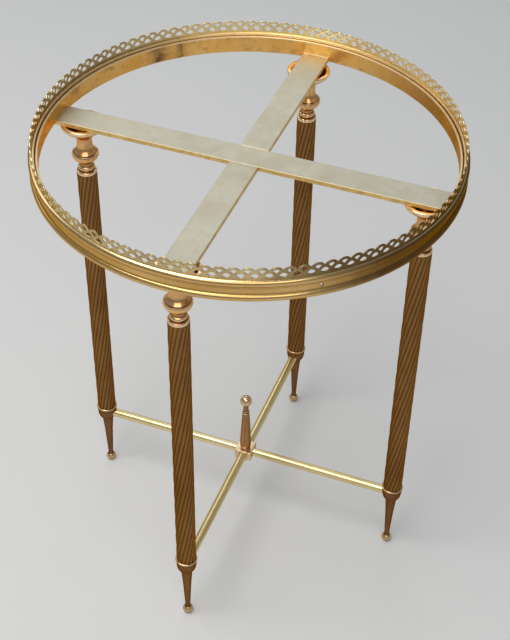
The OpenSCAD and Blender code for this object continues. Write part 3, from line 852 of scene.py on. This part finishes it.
def make_tube(label, centre, phase):
    per, rings = 12, 150
    n = REED_N * per
    verts, cav, faces = [], [], []
    prof = []
    for k in range(per):
        u = k / per
        d = abs(((u + 0.5) % 1.0) - 0.5) * 2          # 0 in the groove, 1 on the crest
        prof.append((d, REED_R - REED_D * (1 - min(1.0, d * 1.06) ** 0.62) if d > 0 else REED_R - REED_D))
    for j in range(rings + 1):
        z = TZ0 + (TZ1 - TZ0) * j / rings
        tw = math.radians(REED_TURN) * j / rings + phase
        for i in range(n):
            d, r = prof[i % per]
            a = tw + TAU * i / n
            dz = 0.0
            rr = r + 0.05 * noise.noise(Vector((i // per * 1.7 + phase * 9, z * 0.02, 1.0)))
            verts.append((centre[0] + min(rr, REED_R) * math.cos(a), centre[1] + min(rr, REED_R) * math.sin(a), z))
            # crest values near 1 take the lighter colour: painted highlight along the reeds
            cav.append(min(1.0, 0.02 + 0.80 * d ** 0.8 + 0.10 * noise.noise(Vector((a * 3, z * 0.05, 2.0)))))
    for j in range(rings):
        for i in range(n):
            i2 = (i + 1) % n
            faces.append((j * n + i, j * n + i2, (j + 1) * n + i2, (j + 1) * n + i))
    # bore wall and end lands
    base = len(verts)
    for z in (TZ0, TZ1):
        tw = math.radians(REED_TURN) * (0 if z == TZ0 else 1) + phase
        for i in range(n):
            a = tw + TAU * i / n
            verts.append((centre[0] + BORE * math.cos(a), centre[1] + BORE * math.sin(a), z))
            cav.append(0.1)
    top = rings * n
    for i in range(n):
        i2 = (i + 1) % n
        faces.append((i2, i, base + i, base + i2))
        faces.append((top + i, top + i2, base + n + i2, base + n + i))
    shift = int(round(((math.radians(REED_TURN)) % TAU) / (TAU / n)))
    for i in range(n):
        i2 = (i + 1) % n
        a, b = base + (i + shift) % n, base + (i2 + shift) % n
        faces.append((base + n + i, base + n + i2, b, a))
    o = add_object("leg_" + label + "_twisted_reed_tube", verts, faces, M_TUBE, {"cav": np.clip(cav, 0, 1)})
    fix_normals(o)
    sharpen(o, 55)
    return place(o, "leg_" + label + "_tube", slot="tube_brass")


def make_legs():
    cap = refine(soften(capital_profile(), 0.28, min_turn=22), 2.2)
    foot = refine(soften(foot_profile(), 0.22, min_turn=22), 2.4)
    # painted shade: the crease under the bulb is set to -1 so it paints dark; painted reflection: the saucer under the
    # bar is raised by 0.45 so it takes the lighter edge colour
    crease_shade_and_saucer_sheen = [-1.0 if abs(z - TZ1 - 26.5) < 0.75 and r < 13.3 else 0.45 if z > BAR_Z - BAR_T - 3.5 and r > 8.8 else 0.0 for r, z in cap]
    # painted sheen: the foot ball is raised by 0.5 so it takes the lighter edge colour all over
    ball = [0.5 if z < 11.2 else 0.0 for r, z in foot]
    for label, deg in LEGS:
        a = math.radians(deg)
        c = (LEG_R * math.cos(a), LEG_R * math.sin(a))
        o = lathe("leg_" + label + "_turned_capital", cap, M_TURN, seg=88, centre=c, cav=crease_shade_and_saucer_sheen)
        place(o, "leg_" + label + "_capital", slot="turned_bronze")
        make_tube(label, c, 0.31 * deg / 90)
        o = lathe("leg_" + label + "_turned_foot", foot, M_FOOT, seg=72, centre=c, cav=ball)
        place(o, "leg_" + label + "_foot", slot="turned_bronze")


# ---------------------------------------------------------------- stretcher
def make_stretcher():
    r = ROD_D / 2
    x0, x1 = HUB_S / 2 - ROD_SINK, LEG_R - 11.5 + ROD_SINK
    prof = [(0, x0), (r - 0.3, x0), (r, x0 + 0.3)] + [(r, x) for x in np.linspace(x0 + 4, x1 - 4, 40)] + [(r, x1 - 0.3), (r - 0.3, x1), (0, x1)]
    for label, deg in LEGS:
        o = lathe("stretcher_" + label + "_round_rod", prof, M_ROD, seg=48, wobble=0.0)
        me = o.data
        cav = np.full(len(me.vertices), 0.55, np.float32)
        me.attributes["cav"].data.foreach_set("value", cav)
        m = Matrix.Translation((0, 0, ROD_Z * MM)) @ Matrix.Rotation(math.radians(deg), 4, "Z") @ Matrix.Rotation(math.radians(90), 4, "Y")
        me.transform(m)
        place(o, "stretcher_rod_" + label, slot="rod_brass")
    # hub: square block with eased edges and a rod socket in each side
    bm = bmesh.new()
    s = HUB_S / 2
    bmesh.ops.create_cube(bm, size=1.0)
    bmesh.ops.scale(bm, vec=(HUB_S * MM, HUB_S * MM, HUB_H * MM), verts=bm.verts)
    bmesh.ops.translate(bm, vec=(0, 0, ROD_Z * MM), verts=bm.verts)
    bmesh.ops.bevel(bm, geom=list(bm.edges), offset=0.7 * MM, segments=4, profile=0.5, affect="EDGES")
    me = bpy.data.meshes.new("stretcher_square_hub")
    bm.to_mesh(me)
    bm.free()
    o = bpy.data.objects.new("stretcher_square_hub", me)
    bpy.context.scene.collection.objects.link(o)
    me.materials.append(M_HUB)
    cut = []
    for k in range(4):
        bmc = bmesh.new()
        bmesh.ops.create_cone(bmc, cap_ends=True, segments=48, radius1=(r + 0.12) * MM, radius2=(r + 0.12) * MM, depth=(ROD_SINK + 2) * MM)
        bmesh.ops.rotate(bmc, verts=bmc.verts, cent=(0, 0, 0), matrix=Matrix.Rotation(math.pi / 2, 3, "Y"))
        bmesh.ops.translate(bmc, vec=((s - ROD_SINK + (ROD_SINK + 2) / 2) * MM, 0, ROD_Z * MM), verts=bmc.verts)
        bmesh.ops.rotate(bmc, verts=bmc.verts, cent=(0, 0, 0), matrix=Matrix.Rotation(math.pi / 2 * k, 3, "Z"))
        mc = bpy.data.meshes.new("cut%d" % k)
        bmc.to_mesh(mc)
        bmc.free()
        oc = bpy.data.objects.new("cut%d" % k, mc)
        bpy.context.scene.collection.objects.link(oc)
        cut.append(oc)
    for oc in cut:
        m = o.modifiers.new("socket", "BOOLEAN")
        m.operation = "DIFFERENCE"
        m.solver = "EXACT"
        m.object = oc
    dg = bpy.context.evaluated_depsgraph_get()
    new = bpy.data.meshes.new_from_object(o.evaluated_get(dg))
    o.modifiers.clear()
    o.data = new
    for oc in cut:
        bpy.data.objects.remove(oc, do_unlink=True)
    att = []
    for v in new.vertices:
        d = [abs(abs(v.co.x / MM) - s) < 1.0, abs(abs(v.co.y / MM) - s) < 1.0, abs(abs(v.co.z / MM - ROD_Z) - HUB_H / 2) < 1.0]
        att.append(0.86 if sum(d) >= 2 else 0.5)
    a = new.attributes.new("cav", "FLOAT", "POINT")
    a.data.foreach_set("value", att)
    new.polygons.foreach_set("use_smooth", [True] * len(new.polygons))
    sharpen(o, 30)
    place(o, "stretcher_hub", slot="turned_bronze")
    # finial and the nut under the hub
    h = HUB_TOP
    prof = [(0, HUB_BOT - 6), (2.5, HUB_BOT - 6), (2.5, h), (4.6, h), (5.4, h + 0.5), (6.1, h + 2.2)]
    prof += smooth_run([(6.1, h + 2.2), (6.5, h + 5.0), (6.6, h + 8.5), (6.3, h + 16.0), (5.6, h + 32.0), (4.7, h + 48.0), (4.1, h + 58.4)], 5)[1:]
    prof += [(3.4, h + 58.8), (3.3, h + 60.0), (3.7, h + 60.6), (3.7, h + 61.6), (3.1, h + 62.4), (2.9, h + 66.0), (3.3, h + 70.2)]
    prof += arc(0, h + 77.2, 6.9, -56, 88, 24) + [(0, h + 84.1)]
    prof = refine(soften(prof, 0.2, min_turn=22), 2.4)
    # painted sheen: the finial ball above h + 70 is raised by 0.4 so it takes the lighter edge colour
    place(lathe("stretcher_turned_finial", prof, M_FINIAL, seg=72, cav=[0.4 if z > h + 70 else 0.0 for r, z in prof]), "finial", slot="turned_bronze")
    h = HUB_BOT
    prof = [(0, h - 12.5), (1.2, h - 12.2), (1.6, h - 11.2)] + arc(0, h - 5.6, 5.3, -66, 28, 14) + [(4.9, h - 2.4), (5.6, h - 1.8), (5.6, h - 0.6), (5.4, h), (2.5, h), (2.5, h - 7), (0, h - 7)]
    prof = refine(soften(prof, 0.2, min_turn=22), 2.4)
    place(lathe("stretcher_pendant_nut", prof, M_TURN, seg=64), "pendant_nut", slot="turned_bronze")


make_hoop()
make_moulding()
make_gallery()
make_screw()
make_bar("cross_bar_left_right_flat", "cross_bar_left_right", False, False)
make_bar("cross_bar_front_back_flat", "cross_bar_front_back", True, True)
for lab, ang, blob in (("right", 0, 0.35), ("back", 90, 0.55), ("left", 180, 0.75), ("front", 270, 0.3)):
    make_solder(lab, ang, blob)
make_legs()
make_stretcher()


# ---------------------------------------------------------------- floor, light, camera
def make_floor():
    me = bpy.data.meshes.new("studio_floor")
    bm = bmesh.new()
    bmesh.ops.create_grid(bm, x_segments=8, y_segments=8, size=6.0)
    bm.to_mesh(me)
    bm.free()
    o = bpy.data.objects.new("studio_floor", me)
    bpy.context.scene.collection.objects.link(o)
    n = Nodes("floor_paper")
    c = n.mix(n.noise(3.0, 3.0, 0.5), (0.70, 0.70, 0.69), (0.74, 0.74, 0.73))
    n.finish(c, 0.85, n.bump(n.noise(900.0, 2.0, 0.5), 0.05, 0.0002), metallic=0.0)
    me.materials.append(n.mat)


def area(name, loc, target, size, power, color=(1, 1, 1)):
    li = bpy.data.lights.new(name, "AREA")
    li.shape = "RECTANGLE"
    li.size, li.size_y = size
    li.energy = power
    li.color = color
    o = bpy.data.objects.new(name, li)
    bpy.context.scene.collection.objects.link(o)
    o.location = loc
    o.rotation_euler = (Vector(target) - Vector(loc)).to_track_quat("-Z", "Y").to_euler()
    return o


make_floor()
world = bpy.data.worlds.new("studio")
bpy.context.scene.world = world
world.use_nodes = True
wt = world.node_tree
wt.nodes.clear()
wo = wt.nodes.new("ShaderNodeOutputWorld")
bg = wt.nodes.new("ShaderNodeBackground")
bg.inputs["Color"].default_value = (0.90, 0.94, 1.0, 1)
bg.inputs["Strength"].default_value = 0.33
wt.links.new(bg.outputs[0], wo.inputs[0])
area("soft_top", (-0.55, -0.75, 2.5), (-0.05, 0, 0.4), (1.5, 1.1), 30, (1.0, 0.98, 0.95))
area("soft_front", (0.75, -2.3, 2.8), (0, 0, 0.45), (3.0, 1.9), 27, (1.0, 0.99, 0.97))
area("soft_back_panel", (-0.95, 2.2, 2.2), (0, 0, 0.5), (1.8, 1.7), 9, (0.96, 0.98, 1.0))
area("soft_left", (-1.9, 0.4, 1.5), (-0.2, 0.0, 0.3), (0.9, 1.1), 4, (1.0, 0.98, 0.96))

cam = bpy.data.cameras.new("camera")
camo = bpy.data.objects.new("camera", cam)
bpy.context.scene.collection.objects.link(camo)
bpy.context.scene.camera = camo
TH = 0.355
yaw, pitch, roll = 0.007894, 0.728530, 0.018183
CAM = dict(d=1100.112, h=1279.492, f=1333.666)
fw = Vector((math.sin(yaw) * math.cos(pitch), math.cos(yaw) * math.cos(pitch), -math.sin(pitch)))
rt = Vector((math.cos(yaw), -math.sin(yaw), 0))
up = rt.cross(fw)
r2 = rt * math.cos(roll) + up * math.sin(roll)
u2 = -rt * math.sin(roll) + up * math.cos(roll)
turn = Matrix.Rotation(TH, 3, "Z")
loc = turn @ (Vector((0, -CAM["d"], CAM["h"])) * MM)
r2, u2, fw = turn @ r2, turn @ u2, turn @ fw
m = Matrix((r2, u2, -fw)).transposed().to_4x4()
m.translation = loc
camo.matrix_world = m
cam.sensor_width = 36.0
cam.sensor_fit = "AUTO"
cam.lens = 36.0 * CAM["f"] / 640.0
cam.clip_start, cam.clip_end = 0.05, 50

sc = bpy.context.scene
sc.view_settings.view_transform = "Standard"
sc.view_settings.look = "None"
sc.view_settings.exposure = 0.0
sc.view_settings.gamma = 1.0
